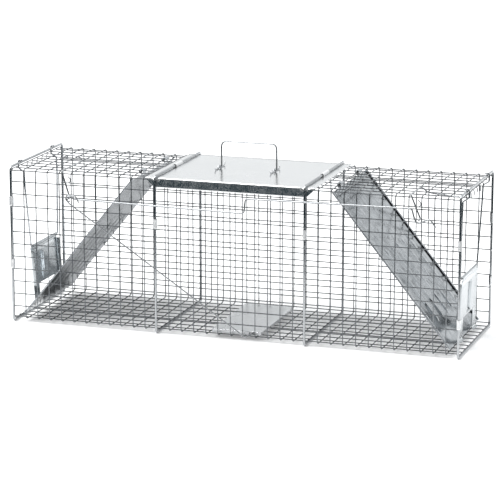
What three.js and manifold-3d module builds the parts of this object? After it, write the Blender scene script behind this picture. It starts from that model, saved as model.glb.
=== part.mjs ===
// Live catch trap: a long welded-wire cage with a sheet door at each end, gravity lock bars, a treadle
// pan on the floor and the wire linkage along the front. Millimetres, +Z up, X along the cage, front at -Y.
import * as THREE from 'three';
import { mergeVertices } from 'three/addons/utils/BufferGeometryUtils.js';
import Module from 'manifold-3d';

// ---- driving dimensions ----
const PITCH = 25.4; // one mesh cell
const CELLS_LONG = 36;
const CELLS_DEEP = 10;
const CELLS_HIGH = 12;
const WIRE = 2.2; // mesh wire
const GAP = 0.3; // clearance between neighbouring pieces
const HALF_LENGTH = (CELLS_LONG * PITCH) / 2;
const HALF_DEPTH = (CELLS_DEEP * PITCH) / 2;

const HOOP_ROD = 2.4; // radius of the hoop rod
const HOOP_HALF_DEPTH = HALF_DEPTH + 5;
const HOOP_TOP = 316.2; // height of the upper rod of a hoop
const HOOP_BEND = 9;
const HOOP_SOLE = 0.04; // height of the flat worn on the underside of a hoop
const HOOP_X = [-HALF_LENGTH, -6 * PITCH, 6 * PITCH, HALF_LENGTH];

const CLIP_INNER = HOOP_ROD + 0.5;
const CLIP_SHEET = 1;
const CLIP_LENGTH = 19;
const TOP_CLIP_LENGTH = 38;

const FLOOR_Z = 2 * HOOP_ROD + GAP + WIRE / 2; // outer wires of the floor mesh
const CEILING_Z = FLOOR_Z + CELLS_HIGH * PITCH;
const MIDDLE_Z = (FLOOR_Z + CEILING_Z) / 2;
const SIDE_HALF_HEIGHT = 148.5;
const CEILING_HALF_DEPTH = 122.7;

const PLATE_HALF_LENGTH = 173;
const PLATE_SHEET = 0.9;
const PLATE_TOP = CEILING_Z + WIRE / 2 + GAP + PLATE_SHEET;
const FLANGE_HEIGHT = 19.5;
const FLANGE_MITRE = 16;
const PLATE_FOLD = 7.3; // outer radius of the folded front edge

const DOOR_PIVOT_X = 8 * PITCH; // from the middle of the cage
const DOOR_SLOPE = THREE.MathUtils.degToRad(50.9);
const DOOR_LENGTH = 377;
const DOOR_HALF_WIDTH = 120;
const DOOR_SHEET = 0.8;
const CURL = 4.2; // inner radius of the door's hinge curls

const LOCK_LEAN = THREE.MathUtils.degToRad(2);
const LOCK_WIRE = 1.6;
const LOCK_EYE = 4.5; // radius of the hooks round the end rod
const LOCK_INSET = 7; // how far the legs hang inside the end rod
const LOCK_TOP_HALF_WIDTH = 82.5;
const LOCK_HALF_WIDTH = 68.6; // at the cross leg
const LOCK_BAR_DROP = 176;
const LOCK_PLATE_HEIGHT = 119; // below the cross leg
const LOCK_SHEET = 1;
const LEFT_PLATE_TILT = THREE.MathUtils.degToRad(2.5); // the left plate hangs further in than its bar

const LINKAGE_WIRE = 1.6;
const LINK_WIRE = 1.3;
const LEVER_Y = -131.3; // plane of the levers' outside arms
const TRIGGER_Y = -137;
const LINK_Y = -141;
const PIN_END_Y = -144.5;
const SHAFT_Z = CEILING_Z + WIRE / 2 + 0.5 + LINKAGE_WIRE;

const PAN_LEFT = -40.6;
const PAN_RIGHT = 61;
const PAN_FRONT = -119;
const PAN_REAR = 92;
const PAN_TOP = 17.5;
const PAN_SKIRT = 7.2;
const PAN_SHEET = 0.8;
const PAN_HINGE_Y = HALF_DEPTH - PITCH;
const PAN_HINGE_Z = FLOOR_Z + WIRE + GAP;

const HANDLE_HALF_LENGTH = 57.2;
const HANDLE_TOP = 368;
const HANDLE_WIRE = 1.6;
const HANDLE_X = -3.4; // middle of the handle
const HANDLE_FOOT = 9;

// The origin is at the middle of the whole outline, on the ground.
const REAR_REACH = HOOP_HALF_DEPTH + CLIP_INNER + CLIP_SHEET;
const FRONT_REACH = -PIN_END_Y;
const ORIGIN_SHIFT = (FRONT_REACH - REAR_REACH) / 2;

const wasm = await Module();
wasm.setup();

// ---- solids ----
function solid(geometry) {
  const bare = geometry.index ? geometry.toNonIndexed() : geometry.clone();
  bare.deleteAttribute('normal');
  bare.deleteAttribute('uv');
  const merged = mergeVertices(bare, 1e-4);
  const vertProperties = merged.attributes.position.array;
  const triVerts = new Uint32Array(merged.index.array);
  return new wasm.Manifold(new wasm.Mesh({ numProp: 3, vertProperties, triVerts }));
}

function geometryOf(manifold) {
  const raw = manifold.getMesh();
  const geometry = new THREE.BufferGeometry();
  geometry.setAttribute('position', new THREE.BufferAttribute(new Float32Array(raw.vertProperties), 3));
  geometry.setIndex(new THREE.BufferAttribute(new Uint32Array(raw.triVerts), 1));
  const flat = geometry.toNonIndexed();
  flat.computeVertexNormals();
  return flat;
}

function joined(geometries) {
  return geometries.map(solid).reduce((sum, next) => sum.add(next));
}

function box(x0, x1, y0, y1, z0, z1) {
  const geometry = new THREE.BoxGeometry(x1 - x0, y1 - y0, z1 - z0);
  return geometry.translate((x0 + x1) / 2, (y0 + y1) / 2, (z0 + z1) / 2);
}

// A profile drawn in (x, z), extruded along y.
function alongY(shape, y0, y1) {
  const geometry = new THREE.ExtrudeGeometry(shape, { depth: y1 - y0, bevelEnabled: false, curveSegments: 6 });
  return geometry.rotateX(Math.PI / 2).translate(0, y1, 0);
}

// A profile drawn in (y, z), extruded along x.
function alongX(shape, x0, x1) {
  const geometry = new THREE.ExtrudeGeometry(shape, { depth: x1 - x0, bevelEnabled: false, curveSegments: 8 });
  const turn = new THREE.Matrix4().makeBasis(
    new THREE.Vector3(0, 1, 0),
    new THREE.Vector3(0, 0, 1),
    new THREE.Vector3(1, 0, 0)
  );
  return geometry.applyMatrix4(turn).translate(x0, 0, 0);
}

function polygon(pairs) {
  return new THREE.Shape(pairs.map(([x, y]) => new THREE.Vector2(x, y)));
}

// ---- bent wire ----
// A curve through given points whose cross-sections stand on the bisector of each corner.
class WirePath extends THREE.Curve {
  constructor(points) {
    super();
    this.points = points;
  }

  getPoint(t) {
    const spans = this.points.length - 1;
    const at = Math.min(Math.max(t * spans, 0), spans);
    const first = Math.min(Math.floor(at), spans - 1);
    return this.points[first].clone().lerp(this.points[first + 1], at - first);
  }

  getTangent(t) {
    const last = this.points.length - 1;
    const here = Math.round(t * last);
    const tangent = new THREE.Vector3();
    if (here > 0) tangent.add(this.points[here].clone().sub(this.points[here - 1]).normalize());
    if (here < last) tangent.add(this.points[here + 1].clone().sub(this.points[here]).normalize());
    return tangent.normalize();
  }

  getUtoTmapping(u) {
    return u;
  }
}

// Rounds every inner corner of a polyline.
function rounded(corners, bend, steps) {
  const path = [corners[0]];
  for (let i = 1; i < corners.length - 1; i += 1) {
    const corner = corners[i];
    const back = corners[i - 1].clone().sub(corner);
    const ahead = corners[i + 1].clone().sub(corner);
    const turn = Math.PI - back.angleTo(ahead);
    if (turn < 0.7) {
      path.push(corner);
      continue;
    }
    const wanted = bend * Math.tan(turn / 2);
    const reach = Math.min(wanted, back.length() * 0.48, ahead.length() * 0.48);
    const start = corner.clone().addScaledVector(back.normalize(), reach);
    const end = corner.clone().addScaledVector(ahead.normalize(), reach);
    const arc = new THREE.QuadraticBezierCurve3(start, corner, end);
    path.push(...arc.getPoints(turn > 1.2 ? steps : 2));
  }
  path.push(corners[corners.length - 1]);
  return path;
}

// A round section drawn as an even polygon whose flats are at the wire's radius.
function roundSection(radius, sides) {
  const reach = radius / Math.cos(Math.PI / sides);
  const points = [];
  for (let i = 0; i < sides; i += 1) {
    const angle = ((i + 0.5) * 2 * Math.PI) / sides;
    points.push(new THREE.Vector2(reach * Math.cos(angle), reach * Math.sin(angle)));
  }
  return new THREE.Shape(points);
}

function bentWire(points, radius, bend, { sides = 6, steps = 3 } = {}) {
  const path = rounded(points.map(([x, y, z]) => new THREE.Vector3(x, y, z)), bend, steps);
  return new THREE.ExtrudeGeometry(roundSection(radius, sides), {
    steps: path.length - 1,
    extrudePath: new WirePath(path),
    bevelEnabled: false
  });
}

// Points on a circle in a plane of constant y, angles in degrees.
function ring(x, y, z, radius, from, to, count) {
  const points = [];
  for (let i = 0; i <= count; i += 1) {
    const angle = THREE.MathUtils.degToRad(from + ((to - from) * i) / count);
    points.push([x + radius * Math.cos(angle), y, z + radius * Math.sin(angle)]);
  }
  return points;
}

// ---- materials ----
function galvanised(color, roughness) {
  return new THREE.MeshStandardMaterial({ color, roughness, metalness: 0.9 });
}

const MESH_STEEL = galvanised(0xa3a7aa, 0.42);
const ROD_STEEL = galvanised(0xb4b9bd, 0.36);
const PLATE_STEEL = galvanised(0xd3d8db, 0.45);
const DOOR_STEEL = galvanised(0xa2abb0, 0.4);
const LOCK_STEEL = galvanised(0xb0b9bd, 0.42);
const PAN_STEEL = galvanised(0xaab0b5, 0.45);
const CLIP_STEEL = galvanised(0xc4c9cc, 0.4);

const trap = new THREE.Group();
trap.name = 'live_catch_trap';
trap.position.y = ORIGIN_SHIFT;

function place(parent, name, geometry, material) {
  const mesh = new THREE.Mesh(geometry, material.clone());
  mesh.name = name;
  parent.add(mesh);
  return mesh;
}

// ---- mesh panels ----
// One flat panel of two wire layers. Cross wires are on the outside, long wires on the inside. The long
// borders pass through both layers and the end borders lie in the inner layer.
function meshPanel(halfWidth, widthCells) {
  const half = WIRE / 2;
  const innerTop = -half - GAP;
  const innerBase = innerTop - WIRE;
  const end = HALF_LENGTH + half;
  const pieces = [
    box(-end, end, halfWidth - WIRE, halfWidth, innerBase, half),
    box(-end, end, -halfWidth, WIRE - halfWidth, innerBase, half)
  ];
  for (const side of [-1, 1]) {
    const x = side * HALF_LENGTH;
    pieces.push(box(x - half, x + half, -halfWidth + half, halfWidth - half, innerBase, innerTop));
  }
  for (let i = 1; i < CELLS_LONG; i += 1) {
    const x = i * PITCH - HALF_LENGTH;
    pieces.push(box(x - half, x + half, -halfWidth + half, halfWidth - half, -half, half));
  }
  for (let i = 1; i < widthCells; i += 1) {
    const y = (i - widthCells / 2) * PITCH;
    pieces.push(box(-HALF_LENGTH, HALF_LENGTH, y - half, y + half, innerBase, innerTop));
  }
  return geometryOf(joined(pieces));
}

function addMesh() {
  const side = meshPanel(SIDE_HALF_HEIGHT, CELLS_HIGH);
  const flat = meshPanel(CEILING_HALF_DEPTH, CELLS_DEEP);
  const front = place(trap, 'mesh_front', side, MESH_STEEL);
  front.rotation.x = Math.PI / 2;
  front.position.set(0, -HALF_DEPTH, MIDDLE_Z);
  const rear = place(trap, 'mesh_rear', side, MESH_STEEL);
  rear.rotation.x = -Math.PI / 2;
  rear.position.set(0, HALF_DEPTH, MIDDLE_Z);
  place(trap, 'mesh_ceiling', flat, MESH_STEEL).position.z = CEILING_Z;
  const floor = place(trap, 'mesh_floor', flat, MESH_STEEL);
  floor.rotation.x = Math.PI;
  floor.position.z = FLOOR_Z;
}

// ---- hoops ----
// A rectangle of rod with rounded corners, butt-welded half way up its rear leg. Its underside is trimmed to
// one plane, so that all four hoops stand evenly.
function hoop() {
  const y = HOOP_HALF_DEPTH;
  const low = HOOP_ROD;
  const rod = bentWire(
    [
      [0, y, MIDDLE_Z],
      [0, y, HOOP_TOP],
      [0, -y, HOOP_TOP],
      [0, -y, low],
      [0, y, low],
      [0, y, MIDDLE_Z]
    ],
    HOOP_ROD,
    HOOP_BEND,
    { sides: 8, steps: 4 }
  );
  const weld = bentWire([[0, y, MIDDLE_Z - 3], [0, y, MIDDLE_Z + 3]], HOOP_ROD + GAP, 0, { sides: 8 });
  const ground = solid(box(-8, 8, -y - 8, y + 8, -8, HOOP_SOLE));
  return geometryOf(joined([rod, weld]).subtract(ground));
}

function addHoops() {
  const shape = hoop();
  HOOP_X.forEach((x, i) => {
    place(trap, `hoop_${i + 1}`, shape, ROD_STEEL).position.x = x;
  });
}

// ---- ring clips ----
// A crimped strip bent round a rod; its two arms reach along -y from the rod's axis.
function clipProfile(arm) {
  const inner = CLIP_INNER;
  const outer = CLIP_INNER + CLIP_SHEET;
  const shape = new THREE.Shape();
  shape.moveTo(outer, -arm);
  shape.absarc(0, 0, outer, 0, Math.PI, false);
  shape.lineTo(-outer, -arm);
  shape.lineTo(-inner, -arm);
  shape.absarc(0, 0, inner, Math.PI, 0, true);
  shape.lineTo(inner, -arm);
  return shape;
}

function clip(arm, length = CLIP_LENGTH) {
  const geometry = new THREE.ExtrudeGeometry(clipProfile(arm), {
    depth: length,
    bevelEnabled: false,
    curveSegments: 5
  });
  return geometry.translate(0, 0, -length / 2);
}

function addClips() {
  const front = [
    ['left_upper', -HALF_LENGTH, 9.5],
    ['left_lower', -HALF_LENGTH, 4.5],
    ['middle_left', -6 * PITCH, 8.5],
    ['middle_right', 6 * PITCH, 8.5],
    ['right_upper', HALF_LENGTH, 8.5],
    ['right_lower', HALF_LENGTH, 2.5]
  ];
  for (const [name, x, cell] of front) {
    const end = Math.abs(x) === HALF_LENGTH;
    const mesh = place(trap, `clip_front_${name}`, clip(end ? 8 : 5.6), CLIP_STEEL);
    mesh.rotation.z = Math.PI;
    mesh.position.set(x, -HOOP_HALF_DEPTH, FLOOR_Z + cell * PITCH);
  }
  const rear = [['upper', 8.5], ['lower', 3.5]];
  for (const [name, cell] of rear) {
    const mesh = place(trap, `clip_rear_right_${name}`, clip(8), CLIP_STEEL);
    mesh.position.set(HALF_LENGTH, HOOP_HALF_DEPTH, FLOOR_Z + cell * PITCH);
  }
  const top = [['left', -6 * PITCH], ['right', 6 * PITCH]];
  for (const [name, x] of top) {
    const mesh = place(trap, `clip_top_${name}`, clip(HOOP_ROD - 0.1, TOP_CLIP_LENGTH), CLIP_STEEL);
    mesh.rotation.x = Math.PI / 2;
    mesh.position.set(x, 0, HOOP_TOP);
  }
}

// ---- guard plate ----
function guardPlate() {
  const front = HALF_DEPTH + WIRE / 2 + GAP + PLATE_SHEET;
  const rear = HALF_DEPTH - 3;
  const fold = PLATE_FOLD;
  const inner = fold - PLATE_SHEET;
  const profile = new THREE.Shape();
  profile.moveTo(rear, PLATE_TOP);
  profile.lineTo(fold - front, PLATE_TOP);
  profile.absarc(fold - front, PLATE_TOP - fold, fold, Math.PI / 2, Math.PI, false);
  profile.lineTo(-front, PLATE_TOP - FLANGE_HEIGHT);
  profile.lineTo(PLATE_SHEET - front, PLATE_TOP - FLANGE_HEIGHT);
  profile.lineTo(PLATE_SHEET - front, PLATE_TOP - fold);
  profile.absarc(fold - front, PLATE_TOP - fold, inner, Math.PI, Math.PI / 2, true);
  profile.lineTo(rear, PLATE_TOP - PLATE_SHEET);
  const sheet = solid(alongX(profile, -PLATE_HALF_LENGTH, PLATE_HALF_LENGTH));
  const low = PLATE_TOP - FLANGE_HEIGHT - 1;
  const corners = [1, -1].map((side) => {
    const outer = side * (PLATE_HALF_LENGTH + 1);
    const cut = [
      [outer, PLATE_TOP - 1],
      [side * (PLATE_HALF_LENGTH - FLANGE_MITRE - 1), low],
      [outer, low]
    ];
    return solid(alongY(polygon(side > 0 ? cut : cut.reverse()), -front - 1, fold - front - 1));
  });
  return geometryOf(corners.reduce((plate, cut) => plate.subtract(cut), sheet));
}

// ---- handle ----
// Both feet point to the left.
function handle() {
  const left = HANDLE_X - HANDLE_HALF_LENGTH;
  const right = HANDLE_X + HANDLE_HALF_LENGTH;
  const foot = PLATE_TOP + GAP + HANDLE_WIRE;
  return bentWire(
    [
      [left - HANDLE_FOOT, 0, foot],
      [left, 0, foot],
      [left, 0, HANDLE_TOP],
      [right, 0, HANDLE_TOP],
      [right, 0, foot],
      [right - HANDLE_FOOT, 0, foot]
    ],
    HANDLE_WIRE,
    11.5,
    { steps: 4 }
  );
}

const STAPLE_WIRE = 1.1;

// A staple lying across the plate and arching over one foot of the handle.
function handleStaple() {
  const low = PLATE_TOP + GAP + STAPLE_WIRE;
  const arch = PLATE_TOP + GAP + 2 * HANDLE_WIRE + GAP + 0.4 + STAPLE_WIRE;
  return bentWire(
    [
      [0, -30, low + 4.5],
      [0, -27, low],
      [0, -7, low],
      [0, -4.2, arch],
      [0, 4.2, arch],
      [0, 7, low],
      [0, 27, low],
      [0, 30.5, low + 2.5],
      [0, 28.5, low + 5.5]
    ],
    STAPLE_WIRE,
    2,
    { steps: 2 }
  );
}

function addTop() {
  place(trap, 'guard_plate', guardPlate(), PLATE_STEEL);
  place(trap, 'handle', handle(), ROD_STEEL);
  const staple = handleStaple();
  for (const [name, side] of [['left', -1], ['right', 1]]) {
    const mesh = place(trap, `handle_staple_${name}`, staple, ROD_STEEL);
    mesh.position.x = HANDLE_X + side * HANDLE_HALF_LENGTH - 3.8;
  }
}

// ---- doors ----
// Drawn lying flat: x runs from the hinge to the free edge, z is the outer side.
const DOOR_FACE = -CURL; // outer face of the sheet, below the hinge axis
const DOOR_START = 4.5;
const HEM = 8;
const HEM_HEIGHT = 2.4;
const RIB_COUNT = 5;
const RIB_SPACING = 37;
const RIB_START = 150;
const RIB_END = 325;
const RIB_HEIGHT = 2;
const RIB_HALF_WIDTH = 4.5;

function doorSheet() {
  const w = DOOR_HALF_WIDTH;
  const base = DOOR_FACE - DOOR_SHEET;
  const hem = DOOR_FACE + HEM_HEIGHT;
  const section = polygon([
    [-w, base],
    [w, base],
    [w, hem],
    [w - HEM, hem],
    [w - HEM, DOOR_FACE],
    [HEM - w, DOOR_FACE],
    [HEM - w, hem],
    [-w, hem]
  ]);
  return alongX(section, DOOR_START, DOOR_LENGTH);
}

function doorRib(y) {
  const base = DOOR_FACE - DOOR_SHEET / 2;
  const top = DOOR_FACE + RIB_HEIGHT;
  const section = polygon([
    [y - RIB_HALF_WIDTH, base],
    [y + RIB_HALF_WIDTH, base],
    [y + RIB_HALF_WIDTH - 3, top],
    [y - RIB_HALF_WIDTH + 3, top]
  ]);
  return alongX(section, RIB_START, RIB_END);
}

// A strip of the sheet rolled round one cross wire of the ceiling.
function doorCurl(y) {
  const outer = CURL + DOOR_SHEET;
  const open = THREE.MathUtils.degToRad(25);
  const shape = new THREE.Shape();
  shape.moveTo(DOOR_START + 2, -outer);
  shape.lineTo(0, -outer);
  shape.absarc(0, 0, outer, -Math.PI / 2, open, true);
  shape.absarc(0, 0, CURL, open, -Math.PI / 2, false);
  shape.lineTo(DOOR_START + 2, -CURL);
  const inset = WIRE / 2 + 1.6;
  return alongY(shape, y + inset, y + PITCH - inset);
}

function door() {
  const pieces = [doorSheet(), doorCurl(-3 * PITCH), doorCurl(2 * PITCH)];
  for (let i = 0; i < RIB_COUNT; i += 1) {
    pieces.push(doorRib((i - (RIB_COUNT - 1) / 2) * RIB_SPACING));
  }
  return geometryOf(joined(pieces));
}

// ---- lock bars ----
// The bar is drawn about the end rod's axis, hanging straight down; x points out of the cage.
function lockBar() {
  const top = LOCK_TOP_HALF_WIDTH;
  const y = LOCK_HALF_WIDTH;
  const x = -LOCK_INSET;
  return bentWire(
    [
      ...ring(0, -top, 0, LOCK_EYE, 225, 0, 6),
      [LOCK_EYE, -top, -12],
      [x, -top, -20],
      [x, -top, -50],
      [x, -y, 8 - LOCK_BAR_DROP],
      [x, -y, -LOCK_BAR_DROP],
      [x, y, -LOCK_BAR_DROP],
      [x, y, 8 - LOCK_BAR_DROP],
      [x, top, -50],
      [x, top, -20],
      [LOCK_EYE, top, -12],
      ...ring(0, top, 0, LOCK_EYE, 0, 225, 6)
    ],
    LOCK_WIRE,
    5,
    { sides: 8 }
  );
}

// The plate is drawn about the cross leg of its bar.
const LOCK_ROLL = LOCK_WIRE + 0.6;
const LOCK_FOOT = 28; // width of each foot
const LOCK_FLANGE = 7;
const LOCK_FLANGE_DROP = 88;
const LOCK_PLATE_HALF = 67;
const LOCK_CUT_HEIGHT = 38;
const LOCK_CHANNEL = 16; // half width of the channel pressed down the middle
const LOCK_CHANNEL_DEPTH = 3.5;

function lockRoll() {
  const outer = LOCK_ROLL + LOCK_SHEET;
  const open = THREE.MathUtils.degToRad(255);
  const shape = new THREE.Shape();
  shape.moveTo(outer, -6);
  shape.lineTo(outer, 0);
  shape.absarc(0, 0, outer, 0, open, false);
  shape.absarc(0, 0, LOCK_ROLL, open, 0, true);
  shape.lineTo(LOCK_ROLL, -6);
  return alongY(shape, -LOCK_HALF_WIDTH + 8, LOCK_HALF_WIDTH - 8);
}

function lockFoot(side) {
  const face = LOCK_ROLL;
  const radius = 5;
  const z = -LOCK_PLATE_HEIGHT;
  const shape = new THREE.Shape();
  shape.moveTo(face, z + 2);
  shape.lineTo(face, z);
  shape.absarc(face + radius, z, radius, Math.PI, Math.PI * 1.6, false);
  shape.absarc(face + radius, z, radius - LOCK_SHEET, Math.PI * 1.6, Math.PI, true);
  shape.lineTo(face + LOCK_SHEET, z + 2);
  const inner = LOCK_PLATE_HALF - LOCK_FOOT;
  return side > 0 ? alongY(shape, inner, LOCK_PLATE_HALF) : alongY(shape, -LOCK_PLATE_HALF, -inner);
}

function lockPlate() {
  const face = LOCK_ROLL;
  const back = face + LOCK_SHEET;
  const high = -3;
  const low = -LOCK_PLATE_HEIGHT;
  const w = LOCK_PLATE_HALF;
  const cut = w - LOCK_FOOT;
  const rim = face - LOCK_FLANGE;
  const pieces = [
    lockRoll(),
    box(face, back, -w, w, low + LOCK_CUT_HEIGHT, high),
    box(face, back, -w, -cut, low, low + LOCK_CUT_HEIGHT + 1),
    box(face, back, cut, w, low, low + LOCK_CUT_HEIGHT + 1),
    box(rim, back, -w, LOCK_SHEET - w, -LOCK_FLANGE_DROP, high - 6),
    box(rim, back, w - LOCK_SHEET, w, -LOCK_FLANGE_DROP, high - 6),
    lockFoot(1),
    lockFoot(-1)
  ];
  const raised = alongY(
    polygon([
      [face + 0.5, high - 14],
      [face - LOCK_CHANNEL_DEPTH, high - 18],
      [face - LOCK_CHANNEL_DEPTH, low + LOCK_CUT_HEIGHT + 6],
      [face + 0.5, low + LOCK_CUT_HEIGHT + 2]
    ]),
    -LOCK_CHANNEL,
    LOCK_CHANNEL
  );
  return geometryOf(joined([...pieces, raised]));
}

// The door and the lock of one end; the other end is the same set turned about.
function addEnd(name, turn, tilt) {
  const end = new THREE.Group();
  end.rotation.z = turn;
  trap.add(end);
  const leaf = place(end, `door_${name}`, door(), DOOR_STEEL);
  leaf.rotation.y = DOOR_SLOPE;
  leaf.position.set(DOOR_PIVOT_X, 0, CEILING_Z);
  const lock = new THREE.Group();
  lock.rotation.y = LOCK_LEAN;
  lock.position.set(HALF_LENGTH, 0, HOOP_TOP);
  end.add(lock);
  place(lock, `lock_bar_${name}`, lockBar(), ROD_STEEL);
  const plate = place(lock, `lock_plate_${name}`, lockPlate(), LOCK_STEEL);
  plate.rotation.y = tilt;
  plate.position.set(-LOCK_INSET, 0, -LOCK_BAR_DROP);
}

// ---- treadle pan ----
function panSkirt() {
  const low = PAN_TOP - PAN_SKIRT;
  const t = PAN_SHEET;
  return [
    box(PAN_LEFT, PAN_RIGHT, PAN_FRONT, PAN_FRONT + t, low, PAN_TOP),
    box(PAN_LEFT, PAN_LEFT + t, PAN_FRONT, PAN_REAR - 12, low, PAN_TOP),
    box(PAN_RIGHT - t, PAN_RIGHT, PAN_FRONT, PAN_REAR - 12, low, PAN_TOP)
  ];
}

// A tab that slopes down from the pan and rolls round a long wire of the floor.
function panTab(x0, x1) {
  const y = PAN_HINGE_Y;
  const z = PAN_HINGE_Z;
  const inner = 2;
  const outer = inner + PAN_SHEET;
  const slope = polygon([
    [PAN_REAR - 3, PAN_TOP - PAN_SHEET],
    [PAN_REAR + 0.5, PAN_TOP - PAN_SHEET],
    [y - 1.9, z + 1.7],
    [y - 0.6, z + 2.4],
    [PAN_REAR + 1, PAN_TOP],
    [PAN_REAR - 3, PAN_TOP]
  ]);
  const from = THREE.MathUtils.degToRad(150);
  const to = THREE.MathUtils.degToRad(-140);
  const roll = new THREE.Shape();
  roll.absarc(y, z, outer, from, to, true);
  roll.absarc(y, z, inner, to, from, false);
  return [alongX(slope, x0, x1), alongX(roll, x0, x1)];
}

function treadlePan() {
  const sheet = box(PAN_LEFT, PAN_RIGHT, PAN_FRONT, PAN_REAR, PAN_TOP - PAN_SHEET, PAN_TOP);
  const inset = WIRE / 2 + 1.7;
  const tabs = [-1, 1].flatMap((cell) => panTab(cell * PITCH + inset, (cell + 1) * PITCH - inset));
  const pan = joined([sheet, ...panSkirt(), ...tabs]);
  const slot = box(36, 50, PAN_FRONT - 1, PAN_FRONT + PAN_SHEET + 1, 12, PAN_TOP - PAN_SHEET - 0.2);
  return geometryOf(pan.subtract(solid(slot)));
}

// ---- trigger linkage ----
const LEFT_SHAFT_X = -348;
const RIGHT_SHAFT_X = 360.7;
const LEFT_PIN = [-331.5, 261.5];
const RIGHT_PIN = [380, 268.5];

// A bell crank: pin, outside arm, shaft across the ceiling, and an arm over the ceiling.
function leftLever() {
  const [px, pz] = LEFT_PIN;
  const x = LEFT_SHAFT_X;
  const y = -25.3;
  return bentWire(
    [
      [px, PIN_END_Y, pz],
      [px, LEVER_Y, pz],
      [x, LEVER_Y, SHAFT_Z],
      [x, y, SHAFT_Z],
      [x - 2, y, SHAFT_Z + 6],
      [x - 9, y, SHAFT_Z + 9.5],
      [x - 24, y, SHAFT_Z + 12],
      [x - 31, y, SHAFT_Z + 10],
      [x - 33, y, SHAFT_Z + 4]
    ],
    LINKAGE_WIRE,
    3
  );
}

// The same crank at the right end; its inner arm sags below the ceiling towards the end of the cage.
function rightLever() {
  const [px, pz] = RIGHT_PIN;
  const x = RIGHT_SHAFT_X;
  const y = -57;
  return bentWire(
    [
      [px, PIN_END_Y, pz],
      [px, LEVER_Y, pz],
      [x, LEVER_Y, SHAFT_Z],
      [x, y, SHAFT_Z],
      [x + 6, y, SHAFT_Z - 3],
      [x + 13, y, SHAFT_Z - 8.7],
      [x + 25, y, SHAFT_Z - 10.7],
      [x + 45, y, SHAFT_Z - 12],
      [x + 62, y, SHAFT_Z - 14.5],
      [x + 78, y, SHAFT_Z - 14.2]
    ],
    LINKAGE_WIRE,
    3
  );
}

function triggerRod() {
  const y = TRIGGER_Y;
  const [px, pz] = LEFT_PIN;
  const eye = ring(px, y, pz, 6, 290, 50, 6);
  return bentWire(
    [
      ...eye,
      [px + 10, y, pz - 0.6],
      [px + 18, y, 260.5],
      [32, y, 256],
      [35, y, 285],
      [364.5, y, 288.5],
      [368.5, y, 273],
      [373.5, y, 261.8],
      [380.5, y, 261.4],
      [387, y, 265],
      [396, y, 269.5],
      [401.5, y, 268.5],
      [411, y, 255]
    ],
    LINKAGE_WIRE,
    7
  );
}

function linkRod() {
  const y = LINK_Y;
  const [px, pz] = LEFT_PIN;
  const hook = ring(px, y, pz, 4.6, 75, 225, 4);
  return bentWire(
    [
      [px + 22.5, y, pz - 6.5],
      [px + 16.5, y, pz + 5.5],
      [px + 9.5, y, pz + 6.6],
      ...hook,
      [px + 2.5, y, pz - 9.5],
      [25.4, y, 17.9],
      [36.8, y, 10.7],
      [42, LEVER_Y, 14.3],
      [43, PAN_FRONT + 7, 14.3]
    ],
    LINK_WIRE,
    3
  );
}

// A small hook on the front top edge that limits the swing of a lever.
function stopHook() {
  return bentWire(
    [
      [0, 0, 11],
      [4.5, 0, 7],
      [5.5, 0, 1],
      [1, 0, -2]
    ],
    1,
    2,
    { steps: 2 }
  );
}

function addTrigger() {
  place(trap, 'treadle_pan', treadlePan(), PAN_STEEL);
  place(trap, 'lever_left', leftLever(), ROD_STEEL);
  place(trap, 'lever_right', rightLever(), ROD_STEEL);
  place(trap, 'trigger_rod', triggerRod(), ROD_STEEL);
  place(trap, 'link_rod', linkRod(), ROD_STEEL);
  for (const [name, x] of [['left', -336], ['right', 374.6]]) {
    place(trap, `stop_hook_${name}`, stopHook(), ROD_STEEL).position.set(x, -129.5, 293);
  }
}

addMesh();
addHoops();
addClips();
addTop();
addEnd('right', 0, 0);
addEnd('left', Math.PI, LEFT_PLATE_TILT);
addTrigger();

export default trap;
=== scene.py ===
"""Live catch trap of galvanised wire and sheet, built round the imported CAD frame.

Lengths are in millimetres in the cage's own axes (X along the cage, Y from front to rear, Z up)
until row() turns them into the row frame. The camera, the light and the stage are in metres.
"""
import math
import random

import bpy
from mathutils import Matrix, Vector, noise


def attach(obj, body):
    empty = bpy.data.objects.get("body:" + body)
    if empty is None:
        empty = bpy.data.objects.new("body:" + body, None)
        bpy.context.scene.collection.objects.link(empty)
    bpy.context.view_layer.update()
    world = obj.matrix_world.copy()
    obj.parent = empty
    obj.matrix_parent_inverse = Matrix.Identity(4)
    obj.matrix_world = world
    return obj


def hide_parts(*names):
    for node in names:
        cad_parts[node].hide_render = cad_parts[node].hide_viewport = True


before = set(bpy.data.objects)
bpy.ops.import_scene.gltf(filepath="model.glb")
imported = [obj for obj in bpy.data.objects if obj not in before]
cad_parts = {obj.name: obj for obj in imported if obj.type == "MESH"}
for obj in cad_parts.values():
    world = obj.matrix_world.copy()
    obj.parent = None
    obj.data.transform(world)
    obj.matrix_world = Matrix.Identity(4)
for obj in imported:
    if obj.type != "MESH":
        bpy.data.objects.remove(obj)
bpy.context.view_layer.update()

RANDOM = random.Random(4)

# ---- dimensions shared with the CAD ----
MM = 0.001
ORIGIN_SHIFT = 4.3  # the cage stands this far behind the row's origin
PITCH = 25.4
CELLS_LONG, CELLS_DEEP, CELLS_HIGH = 36, 10, 12
HALF_LENGTH = CELLS_LONG * PITCH / 2
HALF_DEPTH = CELLS_DEEP * PITCH / 2
FLOOR_Z = 6.2
CEILING_Z = FLOOR_Z + CELLS_HIGH * PITCH
MIDDLE_Z = (FLOOR_Z + CEILING_Z) / 2
WIRE = 1.05  # radius of the mesh wire
LAYER = 1.95  # from the outer wires' plane to the inner wires' plane
CORNER = 7.0  # bend radius of the folded mesh

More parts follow.
